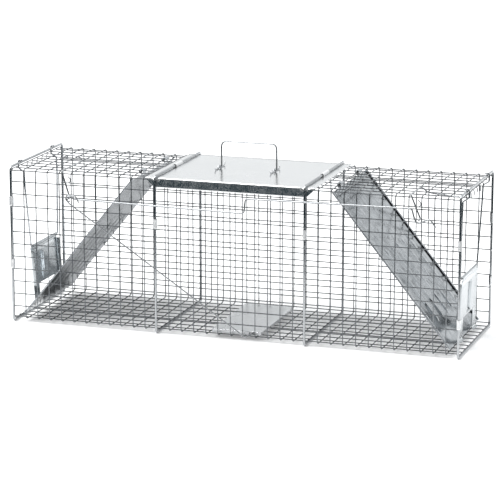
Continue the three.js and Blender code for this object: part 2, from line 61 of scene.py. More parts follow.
HOOP_ROD = 2.4
HOOP_HALF_DEPTH = HALF_DEPTH + 5
HOOP_TOP = 316.2  # height of the rod's axis
HOOP_BEND = 9.0
HOOP_SOLE = 0.04  # the underside of a hoop is trimmed flat at this height
HOOP_X = (-HALF_LENGTH, -6 * PITCH, 6 * PITCH, HALF_LENGTH)

PLATE_HALF_LENGTH = 173.0
PLATE_SHEET = 0.9
PLATE_TOP = 313.3
PLATE_FOLD = 7.3  # outer radius of the front edge where it bends over a hoop
FLANGE_HEIGHT = 19.5  # how far the front flange reaches below the top

DOOR_PIVOT_X = 8 * PITCH
DOOR_SLOPE = math.radians(50.9)
DOOR_LENGTH = 377.0
DOOR_HALF_WIDTH = 120.0
DOOR_SHEET = 0.8
CURL = 4.2  # inner radius of the rolls that hang a door

LOCK_LEAN = math.radians(2)
LOCK_WIRE = 1.6
LOCK_EYE = 4.5  # radius of the hooked ends of a lock bar
LOCK_INSET = 7.0  # how far the legs of a lock bar hang inside its pivot
LOCK_TOP_HALF_WIDTH = 82.5
LOCK_HALF_WIDTH = 68.6
LOCK_BAR_DROP = 176.0
LOCK_PLATE_HEIGHT = 119.0
LOCK_SHEET = 1.0
PLATE_TILT = {"left": math.radians(2.5), "right": 0.0}

LINKAGE_WIRE = 1.6
LINK_WIRE = 1.3
LEVER_Y, TRIGGER_Y, LINK_Y, PIN_END_Y = -131.3, -137.0, -141.0, -144.5
SHAFT_Z = 314.2
LEFT_SHAFT_X, RIGHT_SHAFT_X = -348.0, 360.7
LEFT_PIN, RIGHT_PIN = (-331.5, 261.5), (380.0, 268.5)

PAN_LEFT, PAN_RIGHT, PAN_FRONT, PAN_REAR = -40.6, 61.0, -119.0, 92.0
PAN_TOP, PAN_SKIRT, PAN_SHEET = 17.5, 7.2, 0.8
PAN_HINGE_Y, PAN_HINGE_Z = HALF_DEPTH - PITCH, 8.7

HANDLE_HALF_LENGTH, HANDLE_TOP, HANDLE_WIRE = 57.2, 368.0, 1.6
HANDLE_X, HANDLE_FOOT = -3.4, 9.0


# ---- camera, light and floor ----
def aim(obj, location, target):
    obj.location = location
    direction = Vector(target) - Vector(location)
    obj.rotation_euler = direction.to_track_quat("-Z", "Y").to_euler()


def add_camera():
    azimuth, elevation = math.radians(18.472), math.radians(13.119)
    distance = 4.8914
    target = Vector((0, -0.0007, 0.1586))
    shift_right, shift_up = 0.00013, -0.0057
    back = Vector((
        math.sin(azimuth) * math.cos(elevation),
        -math.cos(azimuth) * math.cos(elevation),
        math.sin(elevation),
    ))
    right = Vector((math.cos(azimuth), math.sin(azimuth), 0))
    up = back.cross(right)
    data = bpy.data.cameras.new("camera")
    data.lens = 177.55
    data.sensor_width = 36
    data.clip_end = 100
    camera = bpy.data.objects.new("camera", data)
    camera.matrix_world = Matrix((right, up, back)).transposed().to_4x4()
    camera.location = target + right * shift_right + up * shift_up + back * distance
    bpy.context.collection.objects.link(camera)
    bpy.context.scene.camera = camera


def sun_light(name, source, strength, spread):
    """A broad even light from one direction, its spread in degrees, so the floor stays evenly bright."""
    data = bpy.data.lights.new(name, "SUN")
    data.energy = strength
    data.angle = math.radians(spread)
    light = bpy.data.objects.new(name, data)
    aim(light, source, (0, 0, 0))
    bpy.context.collection.objects.link(light)


def add_world():
    """A studio that is bright overhead and behind the object, and dim in front of it near the ground."""
    world = bpy.data.worlds.new("studio")
    bpy.context.scene.world = world
    world.use_nodes = True
    nodes, links = world.node_tree.nodes, world.node_tree.links
    background = nodes["Background"]
    coordinates = nodes.new("ShaderNodeTexCoord")
    bright_side = (-0.06, 0.5, 0.75)
    weigh = nodes.new("ShaderNodeVectorMath")
    weigh.operation = "DOT_PRODUCT"
    weigh.inputs[1].default_value = bright_side
    ramp = nodes.new("ShaderNodeValToRGB")
    shift = nodes.new("ShaderNodeMath")
    shift.operation = "MULTIPLY_ADD"
    shift.inputs[1].default_value = 0.5
    shift.inputs[2].default_value = 0.5
    fill_ramp(ramp.color_ramp)
    links.new(coordinates.outputs["Generated"], weigh.inputs[0])
    links.new(weigh.outputs["Value"], shift.inputs[0])
    links.new(shift.outputs[0], ramp.inputs["Fac"])
    links.new(ramp.outputs["Color"], background.inputs["Color"])
    background.inputs["Strength"].default_value = 1.0


def fill_ramp(ramp):
    """The studio's brightness from the dim side to the bright side."""
    stops = ((0.0, 0.05), (0.28, 0.16), (0.5, 0.26), (0.62, 0.45), (0.76, 1.0), (1.0, 1.15))
    ramp.elements[0].position = stops[0][0]
    ramp.elements[1].position = stops[-1][0]
    for position, _ in stops[1:-1]:
        ramp.elements.new(position)
    for element, (position, value) in zip(ramp.elements, stops):
        element.position = position
        element.color = (value * 0.97, value * 0.99, value, 1)


def stage_plane(name, x0, x1, y0, y1, z, material):
    """A level rectangle of the stage, which is no part of the object."""
    mesh = bpy.data.meshes.new(name)
    mesh.from_pydata([(x0, y0, z), (x1, y0, z), (x1, y1, z), (x0, y1, z)], [], [(0, 1, 2, 3)])
    mesh.materials.append(material)
    plane = bpy.data.objects.new(name, mesh)
    bpy.context.collection.objects.link(plane)
    return plane


def floor_material():
    """A pale matt floor. Its slight glow lifts the shadows."""
    material = bpy.data.materials.new("pale_floor")
    material.use_nodes = True
    nodes, links = material.node_tree.nodes, material.node_tree.links
    shader = nodes["Principled BSDF"]
    shader.inputs["Roughness"].default_value = 0.9
    shader.inputs["Specular IOR Level"].default_value = 0.1
    shader.inputs["Emission Color"].default_value = (1, 1, 1, 1)
    shader.inputs["Emission Strength"].default_value = 0.22
    cloud = nodes.new("ShaderNodeTexNoise")
    cloud.inputs["Scale"].default_value = 1.4
    ramp = nodes.new("ShaderNodeValToRGB")
    ramp.color_ramp.elements[0].color = (0.86, 0.86, 0.865, 1)
    ramp.color_ramp.elements[1].color = (0.9, 0.9, 0.9, 1)
    coordinates = nodes.new("ShaderNodeTexCoord")
    links.new(coordinates.outputs["Object"], cloud.inputs["Vector"])
    links.new(cloud.outputs["Fac"], ramp.inputs["Fac"])
    links.new(ramp.outputs["Color"], shader.inputs["Base Color"])
    return material


def card_material(name, color):
    """Matt card without any highlight."""
    material = bpy.data.materials.new(name)
    material.use_nodes = True
    shader = material.node_tree.nodes["Principled BSDF"]
    shader.inputs["Base Color"].default_value = (*color, 1)
    shader.inputs["Roughness"].default_value = 0.9
    shader.inputs["Specular IOR Level"].default_value = 0.0
    return material


def add_stage():
    """The floor, the sun and the cards, which show only as reflections in the metal."""
    stage_plane("floor", -60, 60, -60, 60, 0.0, floor_material())
    dark = card_material("dark_card", (0.022, 0.034, 0.04))
    grey = card_material("grey_card", (0.42, 0.425, 0.43))
    card_height = 0.004
    for name, x0, x1, y0, y1, material in (
        ("card_front", -6, 6, -8, -0.6, dark),
        ("card_left", -8, -0.85, -0.6, 1.2, dark),
        ("card_right", 0.85, 8, -0.6, 1.2, dark),
        ("card_rear", -0.85, -0.18, 0.0, 3.0, grey),
    ):
        card = stage_plane(name, x0, x1, y0, y1, card_height, material)
        card.visible_camera = False
        card.visible_diffuse = False
        card.visible_shadow = False
        card.visible_transmission = False
    sun_light("softbox", (-0.5, -0.25, 1.0), 2.8, 48)


# ---- shapes ----
class Shape:
    """Vertices in cage millimetres, faces, and at each vertex how worn the zinc is, together with a painted
    highlight on bends.
    """

    def __init__(self):
        self.vertices = []
        self.faces = []
        self.wear_and_highlight = []

    def add(self, vertices, faces, wear_and_highlight):
        first = len(self.vertices)
        self.vertices.extend(vertices)
        self.faces.extend([tuple(first + i for i in face) for face in faces])
        self.wear_and_highlight.extend(wear_and_highlight)
        return self

    def moved(self, matrix):
        self.vertices = [matrix @ v for v in self.vertices]
        return self


def row(v):
    """A point of the cage in the row frame, in metres."""
    return (v[0] * MM, (v[1] + ORIGIN_SHIFT) * MM, v[2] * MM)


def points(rows):
    return [Vector(p) for p in rows]


def rounded(corners, radius, step=0.2):
    """Rounds the inner corners of a polyline."""
    path = [corners[0]]
    for before, corner, after in zip(corners, corners[1:], corners[2:]):
        back, ahead = before - corner, after - corner
        turn = math.pi - back.angle(ahead)
        if turn < 0.03:
            path.append(corner)
            continue
        wanted = radius * math.tan(turn / 2)
        reach = min(wanted, back.length * 0.48, ahead.length * 0.48)
        start = corner + back.normalized() * reach
        end = corner + ahead.normalized() * reach
        count = max(2, round(turn / step))
        for i in range(count + 1):
            t = i / count
            path.append(start * (1 - t) ** 2 + corner * 2 * t * (1 - t) + end * t * t)
    path.append(corners[-1])
    return path


def ring(x, y, z, radius, start, end, count):
    """Points on a circle in a plane of constant y, angles in degrees."""
    angles = [math.radians(start + (end - start) * i / count) for i in range(count + 1)]
    return [Vector((x + radius * math.cos(a), y, z + radius * math.sin(a))) for a in angles]


def cut_ends(path, radius):
    """Adds a point just inside each end, so that the cut end of the wire gets a small chamfer."""
    inset = 0.3 * radius
    first = path[0] + (path[1] - path[0]).normalized() * inset
    last = path[-1] + (path[-2] - path[-1]).normalized() * inset
    return [path[0], first, *path[1:-1], last, path[-1]]


def tangents(path, closed):
    """The direction of a path at each of its points."""
    found = []
    count = len(path)
    for i in range(count):
        before = path[i - 1] if i > 0 or closed else path[i]
        after = path[(i + 1) % count] if i < count - 1 or closed else path[i]
        found.append((after - before).normalized())
    return found


def section(centre, normal, side, radius, sides):
    """One ring of a tube's vertices."""
    angles = [2 * math.pi * k / sides for k in range(sides)]
    return [centre + (normal * math.cos(a) + side * math.sin(a)) * radius for a in angles]


def band(low, high, sides, turn=0):
    """The faces between two rings of vertices, the second one turned by some places."""
    pairs = [(k, (k + 1) % sides) for k in range(sides)]
    return [(low + k, low + m, high + (m + turn) % sides, high + (k + turn) % sides) for k, m in pairs]


def tube_faces(count, sides, turn=None):
    """The wall of a tube of count rings, with a flat face at each end, or closed into a loop after a turn."""
    faces = []
    for i in range(count - 1):
        faces += band(i * sides, (i + 1) * sides, sides)
    if turn is not None:
        return faces + band((count - 1) * sides, 0, sides, turn)
    faces.append(tuple(reversed(range(sides))))
    faces.append(tuple((count - 1) * sides + k for k in range(sides)))
    return faces


def wire(shape, path, radius, sides, closed=False):
    """Sweeps a round section along a path, carried along without twist."""
    if not closed:
        path = cut_ends(path, radius)
    along = tangents(path, closed)
    normal = along[0].orthogonal().normalized()
    vertices, wear_and_highlight = [], []
    count = len(path)
    for i, (centre, tangent) in enumerate(zip(path, along)):
        if i:
            normal = along[i - 1].rotation_difference(tangent) @ normal
        side = tangent.cross(normal).normalized()
        end = not closed and i in (0, count - 1)
        bend = along[i - 1].angle(tangent) if i else 0.0
        vertices += section(centre, normal, side, radius * (0.72 if end else 1.0), sides)
        # Bare zinc at a cut end, and a painted highlight on each bend, growing with its angle.
        wear_and_highlight += [1.0 if end else min(1.0, bend * 2.2)] * sides
    turn = closing_turn(vertices, sides, count) if closed else None
    return shape.add(vertices, tube_faces(count, sides, turn), wear_and_highlight)


def closing_turn(vertices, sides, count):
    """How many places the first ring is turned from the last one of a closed wire."""
    last = vertices[(count - 1) * sides]
    return min(range(sides), key=lambda k: (vertices[k] - last).length)


def sheet(shape, grid, thickness):
    """A sheet of metal whose middle surface is grid[i][j], with its cut edges rounded over."""
    rows, columns = len(grid), len(grid[0])
    top, bottom, wear_and_highlight = [], [], []
    for i in range(rows):
        for j in range(columns):
            along = grid[min(i + 1, rows - 1)][j] - grid[max(i - 1, 0)][j]
            across = grid[i][min(j + 1, columns - 1)] - grid[i][max(j - 1, 0)]
            normal = along.cross(across).normalized()
            edge = i in (0, rows - 1) or j in (0, columns - 1)
            half = thickness * (0.3 if edge else 0.5)
            top.append(grid[i][j] + normal * half)
            bottom.append(grid[i][j] - normal * half)
            wear_and_highlight.append(edge_wear_and_fold_highlight(grid, i, j))
    count = rows * columns
    faces = []
    for i in range(rows - 1):
        for j in range(columns - 1):
            a, b = i * columns + j, i * columns + j + 1
            c, d = b + columns, a + columns
            faces.append((a, d, c, b))
            faces.append((count + a, count + b, count + c, count + d))
    border = list(range(columns))
    border += [i * columns + columns - 1 for i in range(1, rows)]
    border += [(rows - 1) * columns + j for j in range(columns - 2, -1, -1)]
    border += [i * columns for i in range(rows - 2, 0, -1)]
    for a, b in zip(border, border[1:] + border[:1]):
        faces.append((a, b, count + b, count + a))
    return shape.add(top + bottom, faces, wear_and_highlight + wear_and_highlight)


def edge_wear_and_fold_highlight(grid, i, j):
    """Bare, brighter zinc at cut edges, and a painted highlight on folds and ribs."""
    rows, columns = len(grid), len(grid[0])
    if i in (0, rows - 1) or j in (0, columns - 1):
        return 1.0
    near = i in (1, rows - 2) or j in (1, columns - 2)
    before = grid[i][j] - grid[i][j - 1]
    after = grid[i][j + 1] - grid[i][j]
    # The cut edge and the row next to it are bare zinc; the angle of a fold or rib adds a painted highlight.
    return min(1.0, max(0.3 if near else 0.0, before.angle(after, 0.0) * 1.6))


EDGE_STEP = 0.3


def edged(values):
    """Adds a line close to each end of a list of positions, where the cut edge is rounded over."""
    step = EDGE_STEP if values[-1] > values[0] else -EDGE_STEP
    return [values[0], values[0] + step, *values[1:-1], values[-1] - step, values[-1]]


def span(start, end, count):
    return [start + (end - start) * i / count for i in range(count + 1)]


def smooth(t):
    """Rises from 0 to 1 without a corner."""
    t = min(max(t, 0.0), 1.0)
    return t * t * (3 - 2 * t)


def ripple(x, y, size, depth):
    """The slight unevenness of rolled sheet."""
    return depth * noise.noise(Vector((x / size, y / size, size)))


# ---- materials ----
def texture(tree, kind, where, **values):
    """A texture node that reads its place from where."""
    made = tree.nodes.new(kind)
    for name, value in values.items():
        made.inputs[name].default_value = value
    tree.links.new(where, made.inputs["Vector"])
    return made


def maths(tree, operation, *terms):
    """A maths node, each term a number or a socket."""
    made = tree.nodes.new("ShaderNodeMath")
    made.operation = operation
    for socket, term in zip(made.inputs, terms):
        if isinstance(term, (int, float)):
            socket.default_value = term
        else:
            tree.links.new(term, socket)
    return made.outputs[0]


def centred(tree, value, gain):
    """A value from 0 to 1 moved to lie about zero and scaled."""
    moved = maths(tree, "SUBTRACT", value, 0.5)
    return maths(tree, "MULTIPLY", moved, gain)


def mixed(tree, factor, low, high):
    """Mixes two colours, each a tuple or a socket."""
    made = tree.nodes.new("ShaderNodeMix")
    made.data_type = "RGBA"
    tree.links.new(factor, made.inputs["Factor"])
    for socket, value in ((made.inputs[6], low), (made.inputs[7], high)):
        if isinstance(value, tuple):
            socket.default_value = (*value, 1)
        else:
            tree.links.new(value, socket)
    return made.outputs[2]


def zinc_crystals(tree, where, spangle):
    """Crystals of about spangle millimetres with crooked borders."""
    warp = texture(tree, "ShaderNodeTexNoise", where, Scale=260.0 / spangle, Detail=2.0)
    bent = tree.nodes.new("ShaderNodeVectorMath")
    bent.operation = "MULTIPLY_ADD"
    tree.links.new(warp.outputs["Color"], bent.inputs[0])
    bent.inputs[1].default_value = (spangle * 0.0011,) * 3
    tree.links.new(where, bent.inputs[2])
    return texture(tree, "ShaderNodeTexVoronoi", bent.outputs[0], Scale=1000.0 / spangle)


def drawing_lines(tree, where, stretch):
    """Fine lines left by the rolling of the sheet, drawn out along the axes where stretch is small."""
    mapping = tree.nodes.new("ShaderNodeMapping")
    mapping.inputs["Scale"].default_value = stretch
    tree.links.new(where, mapping.inputs["Vector"])
    return texture(tree, "ShaderNodeTexNoise", mapping.outputs[0], Scale=60.0, Detail=4.0, Roughness=0.7)


def relief(tree, height, strength):
    """The surface normal that a height texture gives."""
    bump = tree.nodes.new("ShaderNodeBump")
    bump.inputs["Strength"].default_value = strength
    bump.inputs["Distance"].default_value = 0.0004
    tree.links.new(height, bump.inputs["Height"])
    return bump.outputs[0]


def galvanised(name, light, dark, roughness, spangle, bump, metallic=0.985, streak=0.0, stretch=(1, 1, 1)):
    """Zinc coating: crystals, cloudy bloom, fine drawing lines, brighter wear at cut edges and a painted
    highlight on bends.
    """
    material = bpy.data.materials.new(name)
    material.use_nodes = True
    tree = material.node_tree
    shader = tree.nodes["Principled BSDF"]
    shader.inputs["Metallic"].default_value = metallic

    where = tree.nodes.new("ShaderNodeTexCoord").outputs["Object"]
    crystals = zinc_crystals(tree, where, spangle)
    tone = tree.nodes.new("ShaderNodeSeparateColor")
    tree.links.new(crystals.outputs["Color"], tone.inputs[0])
    bloom = texture(tree, "ShaderNodeTexNoise", where, Scale=16.0, Detail=5.0, Roughness=0.62)
    lines = drawing_lines(tree, where, stretch)
    grain = texture(tree, "ShaderNodeTexNoise", where, Scale=900.0, Detail=3.0, Roughness=0.6).outputs["Fac"]
    attribute = tree.nodes.new("ShaderNodeAttribute")
    attribute.attribute_name = "wear_and_highlight"
    wear_and_highlight = attribute.outputs["Fac"]

    cloud = centred(tree, bloom.outputs["Fac"], 1.5)
    crystal = centred(tree, tone.outputs[0], 0.5)
    drawn = centred(tree, lines.outputs["Fac"], streak)
    blend = maths(tree, "ADD", cloud, crystal)
    blend = maths(tree, "ADD", blend, drawn)
    blend = maths(tree, "ADD", blend, 0.55)
    base = mixed(tree, blend, dark, light)
    # Lightens the colour towards bright zinc: real wear at cut edges, a painted highlight on bends and folds.
    rub_and_highlight = maths(tree, "MULTIPLY", wear_and_highlight, grain)
    rub_and_highlight = maths(tree, "MULTIPLY", rub_and_highlight, 1.1)
    bright = tuple(min(1.0, c * 1.12 + 0.03) for c in light)
    tree.links.new(mixed(tree, rub_and_highlight, base, bright), shader.inputs["Base Color"])

    rough = maths(tree, "MULTIPLY_ADD", crystal, 0.16, roughness)
    rough = maths(tree, "MULTIPLY_ADD", cloud, 0.14, rough)
    rough = maths(tree, "MULTIPLY_ADD", wear_and_highlight, -0.08, rough)
    tree.links.new(rough, shader.inputs["Roughness"])

    height = maths(tree, "MULTIPLY_ADD", crystals.outputs["Distance"], 0.35, grain)
    height = maths(tree, "MULTIPLY_ADD", drawn, 1.5, height)
    tree.links.new(relief(tree, height, bump), shader.inputs["Normal"])
    return material


MATERIALS = {
    "mesh": galvanised(
        "mesh_zinc", light=(0.24, 0.25, 0.26), dark=(0.11, 0.12, 0.13),
        roughness=0.24, spangle=3.0, bump=0.3,
    ),
    "rod": galvanised(
        "rod_zinc", light=(0.50, 0.51, 0.52), dark=(0.33, 0.345, 0.36),
        roughness=0.16, spangle=4.0, bump=0.2,
    ),
    "plate": galvanised(
        "plate_zinc", light=(0.77, 0.775, 0.78), dark=(0.68, 0.69, 0.695),
        roughness=0.22, spangle=9.0, bump=0.03, streak=0.7, stretch=(0.12, 1, 1),
    ),
    "door": galvanised(
        "door_zinc", light=(0.52, 0.54, 0.56), dark=(0.23, 0.25, 0.265),
        roughness=0.14, spangle=10.0, bump=0.08, streak=0.6, stretch=(0.3, 2.0, 0.3),
    ),
    "lock": galvanised(
        "lock_zinc", light=(0.53, 0.555, 0.57), dark=(0.36, 0.385, 0.40),
        roughness=0.22, spangle=8.0, bump=0.1, streak=0.5,
    ),
    "pan": galvanised(
        "pan_zinc", light=(0.66, 0.67, 0.68), dark=(0.52, 0.53, 0.54),
        roughness=0.32, spangle=9.0, bump=0.12, streak=0.6,
    ),
    "clip": galvanised(
        "clip_zinc", light=(0.90, 0.905, 0.91), dark=(0.74, 0.75, 0.76),
        roughness=0.45, spangle=4.0, bump=0.6, metallic=0.8,
    ),
}


# ---- pieces ----
SHARP_ANGLE = math.radians(38)


def piece(name, shape, body, slot, *nodes):
    """One finished piece that rides a body and stands for the CAD nodes named."""
    mesh = bpy.data.meshes.new(name)
    mesh.from_pydata([row(v) for v in shape.vertices], [], shape.faces)
    # Each vertex's bare-zinc wear and painted bend highlight, which the materials read.
    wear_and_highlight = mesh.attributes.new("wear_and_highlight", "FLOAT", "POINT")
    wear_and_highlight.data.foreach_set("value", shape.wear_and_highlight)
    mesh.polygons.foreach_set("use_smooth", [True] * len(mesh.polygons))
    mesh.set_sharp_from_angle(angle=SHARP_ANGLE)
    mesh.materials.append(MATERIALS[slot])
    obj = bpy.data.objects.new(name, mesh)
    bpy.context.collection.objects.link(obj)
    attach(obj, body)
    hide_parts(*nodes)


# ---- mesh panels ----
NUGGET_RADIUS = 1.55
NUGGET_HALF_HEIGHT = 1.25


def nugget(shape, centre, normal, along):
    """The flat squeeze of zinc and steel where two wires are welded."""
    side = normal.cross(along)
    vertices = [centre + normal * NUGGET_HALF_HEIGHT, centre - normal * NUGGET_HALF_HEIGHT]
    for k in range(6):
        angle = math.pi * k / 3 + 0.4
        vertices.append(centre + (along * math.cos(angle) + side * math.sin(angle)) * NUGGET_RADIUS)
    faces = []
    for k in range(6):
        a, b = 2 + k, 2 + (k + 1) % 6
        faces.append((0, a, b))
        faces.append((1, b, a))
    shape.add(vertices, faces, [0.5] * 8)


LONG_X = [i * PITCH - HALF_LENGTH for i in range(CELLS_LONG + 1)]  # where the cross wires are
ROWS_Z = [FLOOR_Z + i * PITCH for i in range(1, CELLS_HIGH)]
COLUMNS_Y = [(i - CELLS_DEEP / 2) * PITCH for i in range(1, CELLS_DEEP)]
MESH_SIDES = 8  # sides of a mesh wire's section


def corner_arc(y, z, start, end):
    """Points of the mesh's folded corner in the (y, z) plane, angles in degrees."""
    steps = 3
    angles = [math.radians(start + (end - start) * i / steps) for i in range(steps + 1)]
    return [(y + CORNER * math.cos(a), z + CORNER * math.sin(a)) for a in angles]


def cross_wire_profile(panel):
    """The (y, z) line of one cross wire over one side of the sleeve, from corner to corner."""
    y, low, high = HALF_DEPTH - CORNER, FLOOR_Z + CORNER, CEILING_Z - CORNER
    if panel == "front":
        flat = [(-HALF_DEPTH, z) for z in ROWS_Z]
        return corner_arc(-y, low, 225, 180) + flat + corner_arc(-y, high, 180, 135)
    if panel == "rear":
        flat = [(HALF_DEPTH, z) for z in ROWS_Z]
        return corner_arc(y, low, 315, 360) + flat + corner_arc(y, high, 0, 45)
    if panel == "ceiling":
        flat = [(v, CEILING_Z) for v in COLUMNS_Y]
        return corner_arc(-y, high, 135, 90) + flat + corner_arc(y, high, 90, 45)
    flat = [(v, FLOOR_Z) for v in COLUMNS_Y]
    return corner_arc(-y, low, 225, 270) + flat + corner_arc(y, low, 270, 315)


def long_wire_places(panel):
    """The (y, z) of each long wire of one side, and the outward direction there."""
    if panel in ("front", "rear"):
        side = -1 if panel == "front" else 1
        places = [(side * (HALF_DEPTH - LAYER), z, (side, 0)) for z in ROWS_Z]
        diagonal = math.sqrt(0.5)
        reach = (CORNER - LAYER) * diagonal
        for centre, up in ((FLOOR_Z + CORNER, -1), (CEILING_Z - CORNER, 1)):
            y = side * (HALF_DEPTH - CORNER + reach)
            places.append((y, centre + up * reach, (side * diagonal, up * diagonal)))
        return places
    up = 1 if panel == "ceiling" else -1
    plane = CEILING_Z if up > 0 else FLOOR_Z
    return [(y, plane - up * LAYER, (0, up)) for y in COLUMNS_Y]


def bare_ends(shape, path):
    """A mesh wire whose ends meet the same wire of the next panel, so they stay full size."""
    vertices = []
    normal = Vector((1, 0, 0))
    for centre, tangent in zip(path, tangents(path, False)):
        vertices += section(centre, normal, tangent.cross(normal).normalized(), WIRE, MESH_SIDES)
    shape.add(vertices, tube_faces(len(path), MESH_SIDES), [0.0] * len(vertices))


# The inner cross wires stand a little off their places and sway. All four sides share these numbers.
CROSS_OFFSETS = [RANDOM.uniform(-0.35, 0.35) for _ in LONG_X]
CROSS_LEANS = [RANDOM.uniform(-0.5, 0.5) for _ in LONG_X]


def bent_down(line):
    """A long wire of the ceiling with both ends turned down over the end wires."""
    first, last = line[0].copy(), line[-1].copy()
    first.x, last.x = -HALF_LENGTH - 0.3, HALF_LENGTH + 0.3
    ends = []
    for tip, sign in ((first, 1), (last, -1)):
        drop = RANDOM.uniform(9.5, 12.5)
        steps = ((sign * 2.2, 0, 0), (sign * 0.4, 0, -2), (0, 0, -drop))
        ends.append([tip + Vector(step) for step in steps])
    return [*reversed(ends[0]), *line[1:-1], *ends[1]]


def add_cross_wires(shape, panel):
    """The cross wires of one side, which lie on the outside."""
    profile = cross_wire_profile(panel)
    for i, x in enumerate(LONG_X):
        inner = 0 < i < CELLS_LONG
        path = []
        for y, z in profile:
            sway = CROSS_OFFSETS[i] + CROSS_LEANS[i] * math.sin(y / 90 + z / 120) if inner else 0.0
            path.append(Vector((x + sway, y, z)))
        bare_ends(shape, path)


def add_long_wires(shape, panel):
    """The long wires of one side, each welded to the inside of every cross wire."""
    reach = HALF_LENGTH + 1.1
    for y, z, outward in long_wire_places(panel):
        offset = RANDOM.uniform(-0.3, 0.3)
        dy, dz = offset * abs(outward[1]), offset * abs(outward[0])
        line = [Vector((x, y + dy, z + dz)) for x in [-reach, *LONG_X[1:-1], reach]]
        if panel == "ceiling" and abs(y) < 2.5 * PITCH:
            line = bent_down(line)
        for k in range(3, len(line) - 3):
            sag = 0.22 * noise.noise(Vector((k * 0.9, y, z)))
            line[k] += Vector((0, sag * abs(outward[1]), sag * abs(outward[0])))
        wire(shape, line, WIRE, MESH_SIDES)
        normal = Vector((0, *outward))
        for x in LONG_X:
            nugget(shape, Vector((x, y + dy, z + dz)) + normal * (LAYER / 2), normal, Vector((1, 0, 0)))


def mesh_panel(panel):
    shape = Shape()
    add_cross_wires(shape, panel)
    add_long_wires(shape, panel)
    return shape


def add_mesh():
    for panel in ("front", "rear", "ceiling", "floor"):
        piece(f"wire_panel_{panel}", mesh_panel(panel), "cage", "mesh", f"mesh_{panel}")


# ---- hoops and clips ----
def hoop(x, index):
    """A closed hoop of rod round the cage, butt-welded half way up its rear leg."""
    y, low = HOOP_HALF_DEPTH, HOOP_ROD
    corners = points([(x, y, HOOP_TOP), (x, -y, HOOP_TOP), (x, -y, low), (x, y, low)])
    middle = Vector((x, y, MIDDLE_Z))
    path = rounded([middle, *corners, middle.copy()], HOOP_BEND, 0.13)[:-1]
    dense = []
    for a, b in zip(path, path[1:] + path[:1]):
        steps = max(1, round((b - a).length / 24))
        dense.extend(a.lerp(b, i / steps) for i in range(steps))
    shape = wire(Shape(), dense, HOOP_ROD, 16, closed=True)
    for vertex in shape.vertices:
        vertex.z = max(vertex.z, HOOP_SOLE)
    return weld_bead(shape, middle, index)


def weld_bead(shape, middle, index):
    """A lumpy sleeve of weld metal round an upright rod, each hoop's a little different."""
    heights = (-4.5, -3.2, -1.4, 0, 1.4, 3.2, 4.5)
    sizes = (2.3, 2.52, 2.68, 2.7, 2.66, 2.54, 2.3)
    sides = 16
    vertices = []
    for height, size in zip(heights, sizes):
        centre = middle + Vector((0, 0, height))
        for k in range(sides):
            angle = 2 * math.pi * k / sides
            lump = 0.06 * noise.noise(Vector((k * 0.8, centre.z, index)))
            reach = size + lump * (size > HOOP_ROD)
            vertices.append(centre + Vector((math.cos(angle), math.sin(angle), 0)) * reach)
    return shape.add(vertices, tube_faces(len(sizes), sides), [0.7] * len(vertices))


def add_hoops():
    for i, x in enumerate(HOOP_X):
        piece(f"hoop_rod_{i + 1}", hoop(x, i), "cage", "rod", f"hoop_{i + 1}")


CLIP_RADIUS = 3.4  # middle of the strip bent round the rod
CLIP_SHEET = 1.0
CLIP_LENGTH = 19.0
TOP_CLIP_LENGTH = 38.0


def clip(arm, pinch, length=CLIP_LENGTH):
    """A crimped strip round a rod along z: a saddle with two arms along -y, pinched behind the mesh wire."""
    leg = [
        (CLIP_RADIUS - pinch, -arm), (CLIP_RADIUS - pinch * 0.9, 0.35 - arm),
        (CLIP_RADIUS - pinch * 0.45, -arm * 0.6), (CLIP_RADIUS, -arm * 0.25),
    ]
    angles = [math.pi * k / 10 for k in range(11)]
    saddle = [(CLIP_RADIUS * math.cos(a), CLIP_RADIUS * math.sin(a)) for a in angles]
    across = leg + saddle + [(-x, y) for x, y in reversed(leg)]
    grid = []
    for z in edged(span(-length / 2, length / 2, 10)):
        waist = 0.97 - 0.03 * math.cos(z / length * 2 * math.pi)
        grid.append([Vector((x * waist, y if y < 0 else y * waist, z)) for x, y in across])
    return sheet(Shape(), grid, CLIP_SHEET)


def add_clips():
    outer, inner = (8.0, 1.9), (5.6, 1.3)  # length of the arms and how far they are pinched in
    front = (
        ("left_upper", HOOP_X[0], 9.5, outer),
        ("left_lower", HOOP_X[0], 4.5, outer),
        ("middle_left", HOOP_X[1], 8.5, inner),
        ("middle_right", HOOP_X[2], 8.5, inner),
        ("right_upper", HOOP_X[3], 8.5, outer),
        ("right_lower", HOOP_X[3], 2.5, outer),
    )
    for name, x, cell, arms in front:
        place = Matrix.Translation((x, -HOOP_HALF_DEPTH, FLOOR_Z + cell * PITCH))
        shape = clip(*arms).moved(place @ Matrix.Rotation(math.pi, 4, "Z"))
        piece(f"crimp_front_{name}", shape, "cage", "clip", f"clip_front_{name}")
    for name, cell in (("upper", 8.5), ("lower", 3.5)):
        place = Matrix.Translation((HALF_LENGTH, HOOP_HALF_DEPTH, FLOOR_Z + cell * PITCH))
        shape = clip(*outer).moved(place)
        piece(f"crimp_rear_right_{name}", shape, "cage", "clip", f"clip_rear_right_{name}")
    for name, x in (("left", HOOP_X[1]), ("right", HOOP_X[2])):
        place = Matrix.Translation((x, 0, HOOP_TOP)) @ Matrix.Rotation(math.pi / 2, 4, "X")
        shape = clip(2.3, 0.0, TOP_CLIP_LENGTH).moved(place)
        piece(f"crimp_top_{name}", shape, "cage", "clip", f"clip_top_{name}")


# ---- guard plate ----
TIGHT_FOLD = 2.8
PLATE_LAST_TOP = 24  # the last point of the profile that moves with the top rather than the flange
FLANGE_TAPER = 1.059  # how far each end of the flange runs in per millimetre of depth


def fold_radius(x):
    """The front edge is folded tight, except where a hoop bends over it."""
    return TIGHT_FOLD + (PLATE_FOLD - TIGHT_FOLD) * smooth((12 - abs(abs(x) - HOOP_X[2])) / 8)


